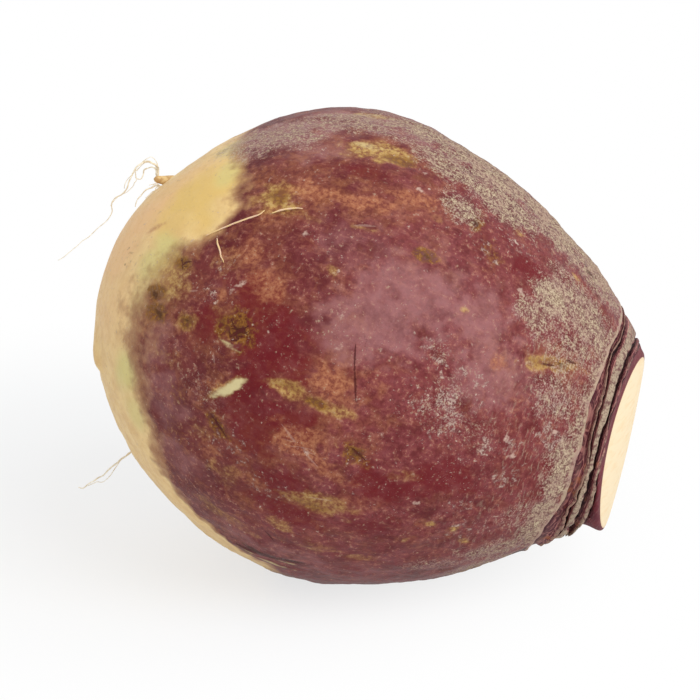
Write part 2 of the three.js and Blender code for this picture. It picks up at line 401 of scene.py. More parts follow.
neck = ringModel("leaf_scar_neck", neckStations(), neckPiece["sides"])
smoothDivide(neck, 2)
neckRing, neckPlain, neckAround = onAxis(readPlaces(neck))
neckAstray, neckOutwards = raggedRims(neckRing, neckAround, 1)
onStump = smoothStep(neckRing, collars[-1]["ring"] + neckPiece["stumpAfter"], neckShape["along"])
neckAlong = carried(neckRing, neckPlain * cutRadius(neckAround) / neckShape["radius"], neckAround)
neckAlong = neckAlong + neckAstray * (1 - onStump)
neckHeight = neckPlain - neckRadius(neckRing)
keptHeight = neckHeight * rimRelief(neckRing, neckAround)
neckHeight = np.where(neckHeight > neckPiece["deepest"], keptHeight, neckHeight)
neckGrown = neckHeight + neckRadius(neckAlong) + neckPiece["lumpShare"] * lumpHeight(neckAlong, neckAround)
neckGrown = neckGrown - tucked(neckRing, neckAround)
valley = smoothStep(neckRing, *underside["valleyStarts"])
valley = valley * (1 - smoothStep(neckRing, *underside["valleyEnds"]))
valley = valley * aboutTurn(neckAround, underside["around"], underside["spread"])
neckGrown = neckGrown + underside["valleyFilled"] * valley
stumpGrown = neckPlain * cutRadius(neckAround) / neckShape["radius"]
neckGrown = (neckGrown + neckOutwards) * (1 - onStump) + stumpGrown * onStump
onCut = neckRing > neckShape["along"] - neckPiece["cutWithin"]
dome = cutShape["dome"] * (1 - np.clip(neckPlain / neckShape["radius"], 0, 1) ** 2)
neckAlong = neckAlong + np.where(onCut, dome, 0)
neckGrown = np.maximum(neckGrown, neckPiece["axisClear"])
print("neck modelled:", len(neck.data.polygons), "faces")


# marks on the skin: along, around, length, width, turn of the length from the axis, strength
blemishes = {
    # warm yellow where the purple is thin
    "ochre": [
        (-8.6, 18.4, 15, 7.5, -6, 1.25), (-13, -2, 12, 4, -10, 1), (-9, 85, 10, 4.4, 0, 0.9),
        (-2, 85.5, 10, 3.6, 4, 0.8), (4, 85.5, 8, 3.4, 0, 0.85), (-22.6, 90.6, 10.5, 3, -52, 0.85),
        (-44, 68, 10, 15, 0, 0.75), (6, 111, 18, 7, 0, 0.7), (-1, 122, 9, 4, 10, 0.7),
        (10, 94, 6, 4, 20, 0.5), (-6, 43.5, 7, 1.4, -10, 0.7), (-26.5, 40, 10, 9, 0, 1.1),
        (-20, 44, 9, 3, 20, 0.5), (-9, 56.2, 3.4, 3, 0, 0.7), (41, 57.5, 4, 3, 0, 0.8),
        (29, 21, 2.6, 2.6, 0, 0.7), (45.5, 18.5, 3, 2, 0, 0.9), (22, 52.5, 2.4, 2.2, 0, 0.8),
        (32, 111, 2.6, 2, 0, 1), (38, 112.5, 2, 1.6, 0, 1), (41, 118, 2.8, 1.6, 20, 0.9),
        (28, 118, 2.4, 2.2, 0, 0.7), (10, 33, 4, 3, 0, 0.5), (-17, 114, 10, 9, 0, 0.5),
        (-14, 130, 22, 5, 8, 0.5), (8, 127, 20, 5, 0, 0.4), (-37, 80, 5, 4.4, 0, 0.8),
        (46, 54.2, 15, 3.4, -22, 1.15), (20, 128, 8, 3, 0, 0.5), (-34, 60, 8, 9, 0, 0.45),
        (-30, 75, 8, 5, 30, 0.4), (-38, 92, 9, 6, 0, 0.4), (-25, 106, 8, 5, 20, 0.45),
        (22, 97, 8, 5, 0, 0.35), (-2, 262, 12, 4, 10, 0.7), (-30, 305, 16, 6, -12, 0.7),
        (22, 238, 10, 3.5, 6, 0.8), (5, 318, 14, 4, -5, 0.6), (38, 280, 7, 3, 0, 0.7),
        (-15, 205, 18, 8, 10, 0.6), (30, 200, 9, 5, 0, 0.5), (-24, 338, 10, 4, 0, 0.6),
        (-8, 186, 16, 9, 20, 0.5), (12, 170, 12, 7, -20, 0.5),
    ],
    # dull orange and pinkish scars
    "orange": [
        (-19, 37, 16, 5.2, -6, 1), (-8, 36.5, 16, 5, -8, 1), (4, 30, 17, 4.6, -12, 0.85),
        (-22, 34, 4.4, 3, 0, 1), (-21.5, 63.3, 9, 8, 30, 1), (-28, 56.5, 8, 7, 30, 0.9),
        (-26, 62, 4, 9, 20, 0.5), (-27, 46, 4, 6, 60, 0.7), (-30.8, 69.5, 2.6, 2.8, 0, 1),
        (-1.4, 80, 9, 10, 80, 1.1), (5.5, 84, 5, 4, 0, 0.6), (8, 76, 5, 9, 80, 0.4),
        (-4, 96, 12, 6.5, -24, 1.25), (2, 99, 11, 4.4, 22, 0.9), (8, 102, 9, 3, 10, 0.7),
        (-10, 93, 6, 2.4, -40, 0.6), (33.4, 61, 5, 5, 0, 0.85), (-52, 50.5, 4, 2.2, -30, 0.8),
        (12, 118, 16, 5, 0, 0.5), (-12, 112, 8, 6, -10, 0.5), (-33, 58, 4, 9, 70, 0.6),
        (47, 20, 6, 4, 0, 0.6), (-24, 91, 8, 3, -20, 0.6), (-22, 110, 7, 5, 10, 0.6),
        (14, 108, 8, 6, 20, 0.5), (40, 70, 7, 5, 0, 0.4), (18, 243, 7, 6, 0, 0.7), (-20, 268, 12, 3, -8, 0.8),
        (-5, 292, 9, 5, 20, 0.6), (28, 315, 6, 4, 0, 0.7), (42, 255, 5, 4, 0, 0.6), (-36, 240, 8, 4, 0, 0.5),
        (2, 222, 11, 4, 12, 0.6), (0, 175, 14, 8, 10, 0.5),
    ],
    # olive and brown scab
    "olive": [
        (-46.2, 76.4, 5, 4.8, 0, 1.1), (-44.2, 81.5, 5, 5.4, 20, 1.1), (-37, 80, 3, 3.4, 0, 1.1),
        (-24.8, 76.6, 7.6, 8.2, 0, 1.1), (-42.4, 63.8, 3.6, 4, 40, 0.9), (-3, 85.6, 6, 2.4, 6, 1),
        (-9, 84.6, 7, 3, 0, 0.6), (9, 94.5, 7, 5, 30, 0.95), (9.5, 44.3, 7, 4, 0, 0.9),
        (18.2, 28, 4, 4.6, 0, 0.9), (46, 54.2, 15, 3, -22, 0.6), (-2.6, 19.8, 8, 3.6, 0, 0.75),
        (-26.6, 39.4, 6, 4.6, 0, 0.75), (-21.9, 101.6, 7, 3, 24, 0.95), (5, 112, 10, 3.4, 0, 0.6),
        (-22, 104, 5, 3, 40, 0.6), (-30, 111, 12, 8, 0, 0.35), (12, 96, 4, 3, 0, 0.6),
        (23.6, 33.6, 8, 6, 40, 0.5), (-33, 100, 7, 6, 0, 0.4), (-1, 242, 5, 4, 0, 0.8),
        (-28, 282, 5.5, 6, 0, 0.9), (14, 275, 4, 3, 0, 0.7), (33, 226, 6, 2.4, -10, 0.8),
    ],
    # brown hearts of the scabs, and the two marks along the slit near around 139, which are painted shade in
    # it
    "dark": [
        (-24.6, 76.4, 3, 3, 50, 0.8), (-46, 77.2, 3, 2, 40, 0.8), (-43.8, 82, 3, 1.8, 20, 0.8),
        (-37, 79.6, 1.4, 1.2, 0, 0.8), (9.7, 94.2, 3, 2, 30, 0.6), (9.8, 44.4, 2, 1.6, 0, 0.7),
        (18.2, 28.4, 1.8, 2.2, 0, 0.8), (-28, 282, 3, 2, 30, 0.8), (48, 53, 2.4, 1.4, -20, 0.6),
        (49, 8, 2.6, 2, 0, 0.8), (52, 16, 2.2, 1.6, 0, 0.7), (55, 28, 3, 2, 0, 0.5),
        (-3, 139, 9, 2.2, 4, 1.1), (4, 138, 8, 1.8, 4, 1), (-57.3, 60.6, 1, 1, 0, 0.55),
        (-56.2, 63, 1.4, 0.8, 30, 0.5), (-57, 66, 1, 1.3, 0, 0.5), (-56.4, 70, 1, 1, 0, 0.5),
        (-55.4, 66.6, 1.2, 0.7, 60, 0.4), (-56.2, 73.8, 0.9, 1, 0, 0.5),
    ],
    # cream where the skin has split and healed
    "pale": [
        (-21.9, 90.2, 7.4, 2.1, -52, 1.15), (-25.1, 94.6, 1.6, 1.4, 0, 0.8), (-25.6, 80.6, 4.8, 1.4, 10, 0.7),
        (-11.5, 17.2, 8, 3.4, -4, 0.5), (-17, 0, 7, 2.4, -8, 0.5), (42.5, 33.7, 4.6, 4.4, 0, 0.75),
        (0, 143.5, 12, 1.2, 4, 0.9), (5, 140, 6, 0.9, 4, 0.8), (-6, 141.5, 5, 0.9, -10, 0.8),
        (-21, 283, 6, 1.4, 30, 0.8), (16, 300, 3, 1.5, 0, 0.7), (-4, 232, 4, 1.2, 10, 0.7),
    ],
    # small pinkish-white flecks
    "fleck": [
        (3.2, 21, 2, 1.8, 0, 1), (3.4, 27.3, 1.5, 1.4, 0, 0.9), (12.7, 27.5, 2, 1.8, 0, 0.9),
        (33, 39.2, 2.2, 1.6, 40, 1), (-17.5, 49, 2, 1.6, 40, 0.9), (-27.6, 65.2, 1.3, 2.4, 40, 0.9),
        (41.5, 80, 2.6, 1.2, 80, 0.9), (44.2, 85.2, 1.8, 1.2, 30, 0.9), (52.2, 74.2, 2.4, 1.2, 0, 1),
        (42.1, 93, 2.6, 1, 60, 0.7), (-29.4, 68, 1.2, 2, 0, 0.7), (40.5, 57.6, 2, 1.4, 0, 0.6),
        (-8.9, 56.4, 1.8, 1.6, 0, 0.6), (-4, 65, 2, 1.4, 40, 0.7), (-2, 72, 1.6, 2, 0, 0.6),
        (14, 88, 2.2, 1.2, 30, 0.6), (27, 104, 2, 1.4, 0, 0.7), (36, 240, 2.4, 1.4, 0, 0.8),
    ],
    # greyish crusty clumps
    "clumped": [
        (22, 68, 5, 5, 0, 0.9), (27, 67, 5, 4, 0, 0.8), (25, 75, 7, 6, 0, 1), (20, 78, 5, 5, 0, 0.8),
        (28, 80, 5, 6, 0, 0.9), (17, 64, 5, 4, 0, 0.6), (33, 74, 6, 4, 0, 0.5), (38, 84, 6, 4, 40, 0.6),
        (17, 73, 5, 5, 0, 0.7), (31, 68, 4, 5, 0, 0.6), (24, 84, 5, 4, 0, 0.6), (42, 82, 6, 5, 0, 0.8),
        (44, 92, 7, 6, 0, 0.7), (51, 76, 6, 6, 0, 0.8), (36, 104, 9, 6, 0, 0.5), (40, 112, 9, 6, 0, 0.6),
        (48, 66, 8, 8, 0, 0.6), (14, 30, 9, 6, 0, 0.6), (22, 34, 9, 7, 0, 0.6), (28, 26, 8, 6, 0, 0.6),
        (-34, 62, 7, 5, 0, 0.5), (-18, 104, 10, 8, 0, 0.45), (-6, 112, 10, 6, 0, 0.4),
        (22, 250, 10, 8, 0, 0.8), (-8, 300, 10, 8, 0, 0.7), (34, 206, 10, 8, 0, 0.8),
    ],
    # stretches that are powdered with such flecks
    "speckled": [
        (-30.5, 85.4, 9, 3.6, -14, 2.2), (-34.6, 70, 12, 4, 6, 1.8), (-3, 96.5, 6, 5, 0, 1.2),
        (24, 75, 22, 26, 0, 1), (20, 64, 12, 10, 0, 0.8), (36, 88, 22, 22, 0, 0.8), (26, 26, 26, 14, 0, 1),
        (10, 22, 22, 8, 0, 0.8), (-2, 70, 20, 16, 0, 0.6), (12, 98, 20, 14, 0, 0.6),
        (30, 110, 26, 10, 0, 0.7), (45, 60, 14, 30, 0, 0.8), (-18, 20, 30, 12, 0, 0.6),
        (-12, 50, 24, 14, 0, 0.5), (0, 122, 30, 10, 0, 0.5), (20, 250, 24, 24, 0, 0.9),
        (-10, 300, 26, 16, 0, 0.7), (40, 200, 20, 20, 0, 0.8), (10, 200, 26, 20, 0, 0.5),
    ],
    # deep crimson stretches without any bloom
    "crimson": [
        (-16, 78, 20, 17, 0, 1), (-12, 93, 22, 10, 0, 1), (-24, 66, 12, 10, 0, 0.8), (50, 26, 8, 6, 0, 0.9),
        (-17, 86, 12, 8, 0, 1), (33, 31, 14, 6, 0, 0.9), (26, 27, 8, 5, 0, 0.6), (-10, 27, 14, 5, 0, 0.6),
        (-2, 108, 14, 6, 0, 0.9), (4, 117, 22, 6, 0, 0.8), (55, 95, 8, 20, 0, 0.5),
        (-14, 100, 12, 8, 20, 0.8), (20, 100, 18, 10, 0, 0.9), (30, 96, 18, 9, 0, 0.7),
        (18, 114, 16, 8, 0, 0.7), (-32, 77, 10, 8, 0, 0.7), (5, 250, 20, 12, 0, 0.8),
        (-20, 290, 12, 12, 0, 0.7), (30, 300, 16, 8, 0, 0.8),
    ],
    # dusty rose-grey bloom; the patches round along 4 to 33 and around 53 to 66 lie where the key light falls
    # brightest and are painted highlight
    "lilacBloomAndHighlight": [
        (-32, 12, 22, 16, -6, 1.2), (-22, 22, 18, 8, -20, 0.6), (-22, 0, 16, 8, 0, 0.9),
        (-8, 2, 26, 7, 0, 0.7), (-36, 105, 14, 14, 0, 0.6), (11, 53, 30, 20, 0, 0.7), (4, 66, 22, 18, 0, 0.8),
        (26, 53, 18, 16, 0, 0.8), (-42, 92, 8, 14, 0, 0.5), (-28, 120, 12, 8, 0, 0.5), (-5, 8, 20, 6, 0, 0.6),
        (0, 135, 40, 8, 0, 0.4), (-10, 48, 16, 10, 0, 0.4), (33, 64, 22, 20, 0, 0.75),
        (0, 280, 30, 20, 0, 0.5), (-30, 260, 18, 16, 0, 0.6),
    ],
}
# thin cracks and healed scratches: along and around of both ends, and the width in the middle. The cracks are
# drawn dark, partly as painted shade in them that the mesh has only as a bump; the three wide ones near
# around 139 are the slit
strokes = {
    "crackAndShade": [
        (1.2, 69.6, 3, 75.4, 0.4), (2.8, 74.6, 6, 82.6, 0.5), (-27.2, 74.4, -23.8, 78.6, 0.6),
        (-25.6, 78.6, -22.8, 74.4, 0.6), (-25.2, 76.2, -22.2, 76.6, 0.5), (-26.8, 77.2, -25.2, 80, 0.5),
        (-43.2, 62.2, -41.8, 66.2, 0.5), (-42.4, 63.8, -40.6, 62.8, 0.45), (-24.4, 99.6, -19.2, 103.6, 0.7),
        (8.2, 93, 12.6, 95.4, 0.8), (-3.8, 126.4, -0.8, 129.6, 0.6), (-9.5, 141.6, -4, 139.8, 1.4),
        (-5, 139.8, 2, 138.2, 2.4), (1, 138.4, 8.5, 137.2, 1.6), (-29.6, 280.6, -25.5, 287, 0.6),
        (48.6, 50.6, 51.6, 49.6, 0.6), (43.4, 55.8, 46.6, 54.4, 0.6),
    ],
    "scratch": [
        (-38.8, 71.6, -36.6, 70.4, 0.5), (-34.2, 69.4, -32, 70.4, 0.5), (-8.5, 43.7, -3.2, 41.8, 0.7),
        (-28.6, 84, -27.2, 87, 0.4), (-8.4, 93.4, -2.6, 97.4, 0.6), (-3, 97, 3.2, 100.6, 0.6),
        (-5.8, 98.2, 0.8, 96.6, 0.4), (2, 110, 9, 108.6, 0.5), (14, 240, 20, 243, 0.6),
        (-12, 300, -6, 303, 0.6),
    ],
}
# corky scurf: along, around, length, width, turn, strength
scurfAreas = [
    (4, -2, 34, 16, 4, 0.8), (18, 0, 34, 24, 4, 1), (36, -4, 30, 26, 4, 1.1), (50, -6, 16, 26, 0, 1.1),
    (10, 14, 22, 10, 12, 0.8), (24, 14, 20, 12, -6, 0.85), (15, 26, 10, 8, 30, 0.75),
    (34, 10, 14, 8, -20, 0.8), (47, 30, 17, 14, 30, 0.8), (42, 34, 12, 11, 0, 0.85), (52, 34, 9, 20, 80, 0.8),
    (38, 44, 11, 10, 40, 0.6), (50, 46, 13, 14, 60, 0.55), (44, 22, 12, 6, 0, 0.5), (50, 62, 14, 14, 0, 0.5),
    (57.5, 60, 5, 44, 0, 0.8), (57, 88, 5.4, 28, 0, 0.9), (57, 112, 6.5, 26, 0, 0.95),
    (55, 84, 7, 18, 0, 0.35), (-4, -4, 24, 10, 0, 0.5), (50, 126, 18, 8, 0, 0.65), (38, 131, 20, 6, 0, 0.4),
    (52, 108, 12, 12, 0, 0.35), (-4, 10, 14, 6, -8, 0.45), (24, 76, 13, 14, 0, 0.3), (20, 65, 8, 6, 0, 0.25),
    (34, 80, 12, 10, 0, 0.25), (50, 150, 16, 24, 0, 0.8), (52, 190, 14, 40, 0, 0.8),
    (48, 240, 16, 30, 0, 0.7), (46, 290, 18, 34, 0, 0.9), (30, 320, 36, 26, 0, 0.8),
    (12, 340, 26, 16, 0, 0.6), (-10, 350, 16, 8, 0, 0.4), (20, 290, 12, 10, 30, 0.5),
    (-28, 95, 12, 10, 0, 0.2), (-52, 70, 10, 12, 0, 0.15), (-32, 13, 22, 18, -10, 0.6),
    (-18, 5, 28, 14, 0, 0.6),
]
# where the yellow root end gives way to purple: around, along and the softness of the change
capEdge = [
    (-30, -36, 5), (-5, -40, 6), (4, -41.6, 5.5), (23, -39.8, 3.4), (34, -36.4, 3.2), (44, -34.4, 3),
    (49, -35.2, 3.4), (54, -38.6, 4.5), (59, -43.2, 6), (66, -45, 7), (77, -47, 7.5), (90, -48.6, 8),
    (100, -46, 7.5), (108, -43, 6.5), (117, -38, 5.5), (126, -34, 5), (132, -30, 4.5), (138, -24, 4),
    (142, -14, 4), (146, -2, 5), (156, 4, 6), (175, 2, 7), (195, -8, 7), (215, -26, 7), (235, -38, 6),
    (265, -42, 6), (295, -38, 5), (320, -34, 5),
]
# warmer, greener and rosier parts of the root end
capPatches = {
    "gold": [
        (-43, 36, 14, 18, 0, 1), (-48, 48, 10, 12, 0, 0.8), (-50, 20, 14, 14, 0, 0.3),
        (-44, 290, 14, 16, 0, 0.6),
    ],
    "green": [
        (-40.5, 30, 5, 9, 0, 0.8), (-40, 14, 8, 8, 0, 0.8), (-46, 60.5, 12, 6, 20, 1),
        (-50, 66, 7, 9, 0, 0.9), (-47, 110, 6, 10, 0, 1), (-42, 120, 6, 8, 0, 0.7), (-49, 80, 5, 10, 0, 0.5),
        (-44, 320, 10, 10, 0, 0.6), (-46, 250, 8, 10, 0, 0.6),
    ],
    "blush": [
        (-56, 40, 16, 16, 0, 1), (-60, 60, 14, 18, 0, 0.9), (-52, 22, 14, 12, 0, 0.8),
        (-58, 90, 12, 20, 0, 0.5),
    ],
}


# how a mark fades out past its outline, and along what stretches the skin changes
markFade = (0.4, 1.6)
skinBands = {"crown": (26, 54), "rootward": (-30, 12), "rimWidth": 0.7, "hiddenUnder": 1.0, "hiddenFrom": 40}


def markMask(marks, along, around, radius, uneven):
    mask = np.zeros_like(along)
    for markAlong, markAround, length, width, turn, strength in marks:
        ahead = along - markAlong
        across = radius * turnFrom(around, markAround)
        c = math.cos(math.radians(turn))
        s = math.sin(math.radians(turn))
        distance = np.hypot((ahead * c + across * s) / (length / 2), (across * c - ahead * s) / (width / 2))
        mask = np.maximum(mask, strength * (1 - smoothStep(distance + uneven, *markFade)))
    return mask


def storeStrokes(piece, name, drawn, along, around):
    # every vertex knows its place across and along the nearest stroke, so one can be thinner than a face
    reachOfStroke, farAcross, farAhead = 2.6, 40.0, 3.0
    nearest = np.full_like(along, reachOfStroke)
    across = np.full_like(along, farAcross)
    ahead = np.full_like(along, farAhead)
    for fromAlong, fromAround, toAlong, toAround, width in drawn:
        reach = float(skinRadius((fromAlong + toAlong) / 2))
        x = along - fromAlong
        y = reach * turnFrom(around, fromAround)
        spanX = toAlong - fromAlong
        spanY = reach * float(turnFrom(toAround, fromAround))
        length = math.hypot(spanX, spanY)
        forward = 2 * (x * spanX + y * spanY) / length ** 2 - 1
        sideways = (y * spanX - x * spanY) / length
        distance = np.hypot(sideways, np.maximum(np.abs(forward) - 1, 0) * length / 2)
        closer = distance < nearest
        nearest = np.where(closer, distance, nearest)
        across = np.where(closer, 2 * sideways / width, across)
        ahead = np.where(closer, forward, ahead)
    storeValues(piece, name + "Across", across)
    storeValues(piece, name + "Ahead", ahead)


def enlarged(marks, growth, strength):
    return [(*mark[:2], mark[2] * growth, mark[3] * growth, mark[4], mark[5] * strength) for mark in marks]


def capMask(along, around):
    turns = [edge[0] for edge in capEdge]
    edge = np.interp(around, turns, [edge[1] for edge in capEdge], period=360)
    softness = np.interp(around, turns, [edge[2] for edge in capEdge], period=360)
    return 0.5 + (edge - along) / (2 * softness)


skinPlaces = placesOnAxis(skinAlong, skinGrown, skinAround)
broadNoise = noiseField(skinPlaces, 9, 3, octaves=3)
fineNoise = noiseField(skinPlaces, 2.6, 5, octaves=2)
masks = {}
broadKinds = ("crimson", "lilacBloomAndHighlight", "speckled", "clumped")
for kind, marks in blemishes.items():
    uneven = 0.35 * fineNoise + (0.35 * broadNoise if kind in broadKinds else 0)
    masks[kind] = markMask(marks, skinAlong, skinAround, skinGrown, uneven)
halos = enlarged(blemishes["ochre"] + blemishes["orange"] + blemishes["olive"], 2.3, 0.8)
masks["warm"] = markMask(halos, skinAlong, skinAround, skinGrown, 0.5 * fineNoise + 0.5 * broadNoise)
masks["scurf"] = markMask(scurfAreas, skinAlong, skinAround, skinGrown, 0.25 * fineNoise + 0.2 * broadNoise)
masks["cap"] = capMask(skinAlong + 1.0 * fineNoise + 1.5 * broadNoise, skinAround)
for kind, uneven in (("gold", 0.4), ("green", 0.3), ("blush", 0.3)):
    masks[kind] = markMask(capPatches[kind], skinAlong, skinAround, skinGrown, uneven * broadNoise)
masks["crown"] = smoothStep(skinRing, *skinBands["crown"])
masks["rootward"] = 1 - smoothStep(skinRing + 5 * broadNoise, *skinBands["rootward"])
masks["rim"] = np.exp(-(((skinRing - collars[0]["ring"]) / skinBands["rimWidth"]) ** 2))
# the skin turned in under the neck: it gets painted shade and no relief
under = skinGrown < neckRadius(skinAlong) - skinBands["hiddenUnder"]
masks["shadedUnderNeck"] = (under & (skinAlong > skinBands["hiddenFrom"])).astype(float)
for name, values in masks.items():
    storeMask(skin, name, values)
for name, drawn in strokes.items():
    storeStrokes(skin, name, drawn, skinAlong, skinAround)
print("blemishes placed")

# how far the skin and its marks stand up, and the fine stripes that ring the shoulder
skinRelief = {
    "broad": 0.28, "fine": 0.07, "scurf": 0.16, "scab": 0.45, "scabLeast": 0.7, "scabUneven": 0.5,
    "marks": {"pale": 0.3, "fleck": 0.2, "orange": -0.12, "ochre": -0.1},
    "stripes": 0.09, "stripeTurns": 2.4, "stripeWander": 1.5,
}
relief = skinRelief["broad"] * broadNoise + skinRelief["fine"] * fineNoise
scab = skinRelief["scab"] * masks["olive"] * (skinRelief["scabLeast"] + skinRelief["scabUneven"] * fineNoise)
relief += skinRelief["scurf"] * masks["scurf"] * (1 + fineNoise) - scab
for kind, height in skinRelief["marks"].items():
    relief += height * masks[kind]
stripes = np.sin(skinRing * skinRelief["stripeTurns"] + skinRelief["stripeWander"] * broadNoise)
stripes = stripes * masks["crown"] * skinRelief["stripes"]
skinGrown = skinGrown + (relief + stripes) * (1 - masks["shadedUnderNeck"])
writePlaces(skin, setDown(placesOnAxis(skinAlong, skinGrown, skinAround)))

# masks of the neck: pale crests, painted shade in the grooves, the purple stump and the cut
neckMarks = {
    "crestReach": (0.45, 0.5), "paleBeyond": 0.6, "crestEdge": (-0.9, 0.1), "crestLeast": 0.3,
    "grooveEdge": (-2.4, -0.9), "grooveBefore": 69.3, "low": 150, "lowEdge": (-0.2, 0.7),
    "stumpEdge": (68.6, 69.6), "cutEdge": (19.5, 21.6),
}
crest = np.zeros_like(neckRing)
paleCrest = np.zeros_like(neckRing)
depth = neckPlain - neckRadius(neckRing)
for collar in collars[1:]:
    middle = collar["ring"] - 0.5 * collar["breadth"]
    reach = neckMarks["crestReach"][0] + neckMarks["crestReach"][1] * collar["breadth"]
    onCrest = np.exp(-(np.abs(neckRing - middle) / reach) ** 4) * smoothStep(depth, *neckMarks["crestEdge"])
    crest = np.maximum(crest, onCrest)
    onCollar = np.abs(neckRing - middle) < reach + neckMarks["paleBeyond"]
    paleCrest = np.where(onCollar, collar["pale"], paleCrest)
kept = np.clip(rimRelief(neckRing, neckAround), 0, 1)
crest = crest * (neckMarks["crestLeast"] + (1 - neckMarks["crestLeast"]) * kept)
# painted shade: the deeper the surface lies between the rims, the darker it is painted
groove = (1 - smoothStep(depth, *neckMarks["grooveEdge"])) * (neckRing < neckMarks["grooveBefore"])
lowerHalf = smoothStep(np.cos(turnFrom(neckAround, neckMarks["low"])), *neckMarks["lowEdge"])
storeMask(neck, "crest", crest)
storeMask(neck, "paleCrest", paleCrest)
storeMask(neck, "low", lowerHalf)
storeMask(neck, "groove", groove)
storeValues(neck, "row", neckRing + neckPlain)
storeMask(neck, "stump", smoothStep(neckRing, *neckMarks["stumpEdge"]))
storeMask(neck, "cutEdge", smoothStep(neckPlain, *neckMarks["cutEdge"]) * onCut)
writePlaces(neck, setDown(placesOnAxis(neckAlong, neckGrown, neckAround)))


def colour(red, green, blue):
    values = [part / 255 for part in (red, green, blue)]
    linear = [v / 12.92 if v <= 0.04045 else ((v + 0.055) / 1.055) ** 2.4 for v in values]
    return (*linear, 1)


def newMaterial(name):
    material = bpy.data.materials.new(name)
    material.use_nodes = True
    return material, material.node_tree, material.node_tree.nodes["Principled BSDF"]


# each of these adds its node to the tree that its first socket belongs to
def feed(socket, value):
    if isinstance(value, bpy.types.NodeSocket):
        socket.id_data.links.new(value, socket)
    else:
        socket.default_value = value


def maths(operation, first, second=0.0):
    owner = first if isinstance(first, bpy.types.NodeSocket) else second
    node = owner.id_data.nodes.new("ShaderNodeMath")
    node.operation = operation
    feed(node.inputs[0], first)
    feed(node.inputs[1], second)
    return node.outputs[0]


def between(value, low, high, outLow=0.0, outHigh=1.0):
    node = value.id_data.nodes.new("ShaderNodeMapRange")
    node.interpolation_type = "SMOOTHSTEP"
    feed(node.inputs["Value"], value)
    node.inputs["From Min"].default_value = low
    node.inputs["From Max"].default_value = high
    node.inputs["To Min"].default_value = outLow
    node.inputs["To Max"].default_value = outHigh
    return node.outputs[0]


def blend(share, first, second):
    node = share.id_data.nodes.new("ShaderNodeMix")
    node.data_type = "RGBA"
    feed(node.inputs[0], share)
    feed(node.inputs[6], first)
    feed(node.inputs[7], second)
    return node.outputs[2]


def axisCoords(tree):
    # millimetres from the widest ring, turned onto the root's axis
    place = tree.nodes.new("ShaderNodeTexCoord")
    turn = tree.nodes.new("ShaderNodeMapping")
    middle = Matrix.Rotation(math.radians(-rootShape["crownDip"]), 3, "Y") @ Vector(rootShape["seat"])
    turn.inputs["Location"].default_value = -middle
    turn.inputs["Scale"].default_value = (1000, 1000, 1000)
    turn.inputs["Rotation"].default_value = (0, math.radians(-rootShape["crownDip"]), 0)
    tree.links.new(place.outputs["Object"], turn.inputs["Vector"])
    return turn.outputs["Vector"]


def stretched(coords, factors):
    node = coords.id_data.nodes.new("ShaderNodeVectorMath")
    node.operation = "MULTIPLY"
    feed(node.inputs[0], coords)
    node.inputs[1].default_value = factors
    return node.outputs[0]


def noisePattern(coords, scale, detail, roughness=0.55, distortion=0.0):
    node = coords.id_data.nodes.new("ShaderNodeTexNoise")
    feed(node.inputs["Vector"], coords)
    node.inputs["Scale"].default_value = scale
    node.inputs["Detail"].default_value = detail
    node.inputs["Roughness"].default_value = roughness
    node.inputs["Distortion"].default_value = distortion
    return node.outputs[0]


def mask(tree, name):
    node = tree.nodes.new("ShaderNodeAttribute")
    node.attribute_name = name
    return node.outputs["Fac"]


def roughened(value, pattern, amount, low, high):
    # a stored mask whose edge follows a finer pattern
    push = maths("MULTIPLY", maths("SUBTRACT", pattern, 0.5), amount)
    return between(maths("ADD", value, push), low, high)


def weaker(value, amount):
    return maths("MULTIPLY", value, amount)


def joined(first, second):
    return maths("MULTIPLY", first, second)


def summed(*shares):
    total = weaker(*shares[0])
    for pattern, amount in shares[1:]:
        total = maths("ADD", total, weaker(pattern, amount))
    return total


def over(tone, share, amount, paint):
    # a colour laid thinly over another one
    return blend(weaker(share, amount), tone, paint)


def addBump(shader, height, strength, distance):
    bump = shader.id_data.nodes.new("ShaderNodeBump")
    bump.inputs["Strength"].default_value = strength
    bump.inputs["Distance"].default_value = distance * mm
    feed(bump.inputs["Height"], height)
    feed(shader.inputs["Normal"], bump.outputs[0])


skinFinish = {
    "purpleDark": colour(92, 30, 33),
    "purpleMid": colour(113, 48, 46),
    "purpleRose": colour(128, 58, 61),
    "crimson": colour(104, 14, 24),
    # dusty bloom, also used as painted highlight on the near middle
    "bloomAndHighlight": colour(166, 116, 116),
    "warm": colour(150, 92, 62),
    "fibre": colour(176, 114, 94),
    "gold": colour(228, 192, 116),
    "tan": colour(236, 204, 146),
    "tanDark": colour(224, 187, 131),
    "blush": colour(236, 190, 138),
    "green": colour(214, 202, 132),
    "ochre": colour(198, 164, 98),
    "ochreDark": colour(156, 112, 60),
    "orange": colour(184, 122, 86),
    "orangeDark": colour(152, 86, 62),
    "olive": colour(142, 94, 34),
    "oliveDark": colour(78, 42, 20),
    # dark brown of the scab hearts, also used as painted shade in the slit and under the neck
    "dark": colour(62, 30, 18),
    "pale": colour(214, 200, 150),
    "fleck": colour(208, 180, 164),
    "scurf": colour(200, 182, 152),
    "scurfPink": colour(176, 144, 130),
    "scurfDark": colour(124, 92, 82),
    "clump": colour(196, 176, 162),
    "rim": colour(186, 162, 138),
    # dark of the cracks, partly painted shade inside them
    "crackAndShade": colour(74, 18, 20),
    "crust": colour(112, 76, 72),
}
# how a patch breaks up at its edge, and how much of the skin it covers
patchEdges = {
    "ochre": {"break": 1.1, "low": 0.2, "high": 1.05, "cover": 0.9},
    "orange": {"break": 1.3, "low": 0.2, "high": 1.15, "cover": 0.76},
    "olive": {"break": 0.9, "low": 0.2, "high": 0.9, "cover": 0.9},
}


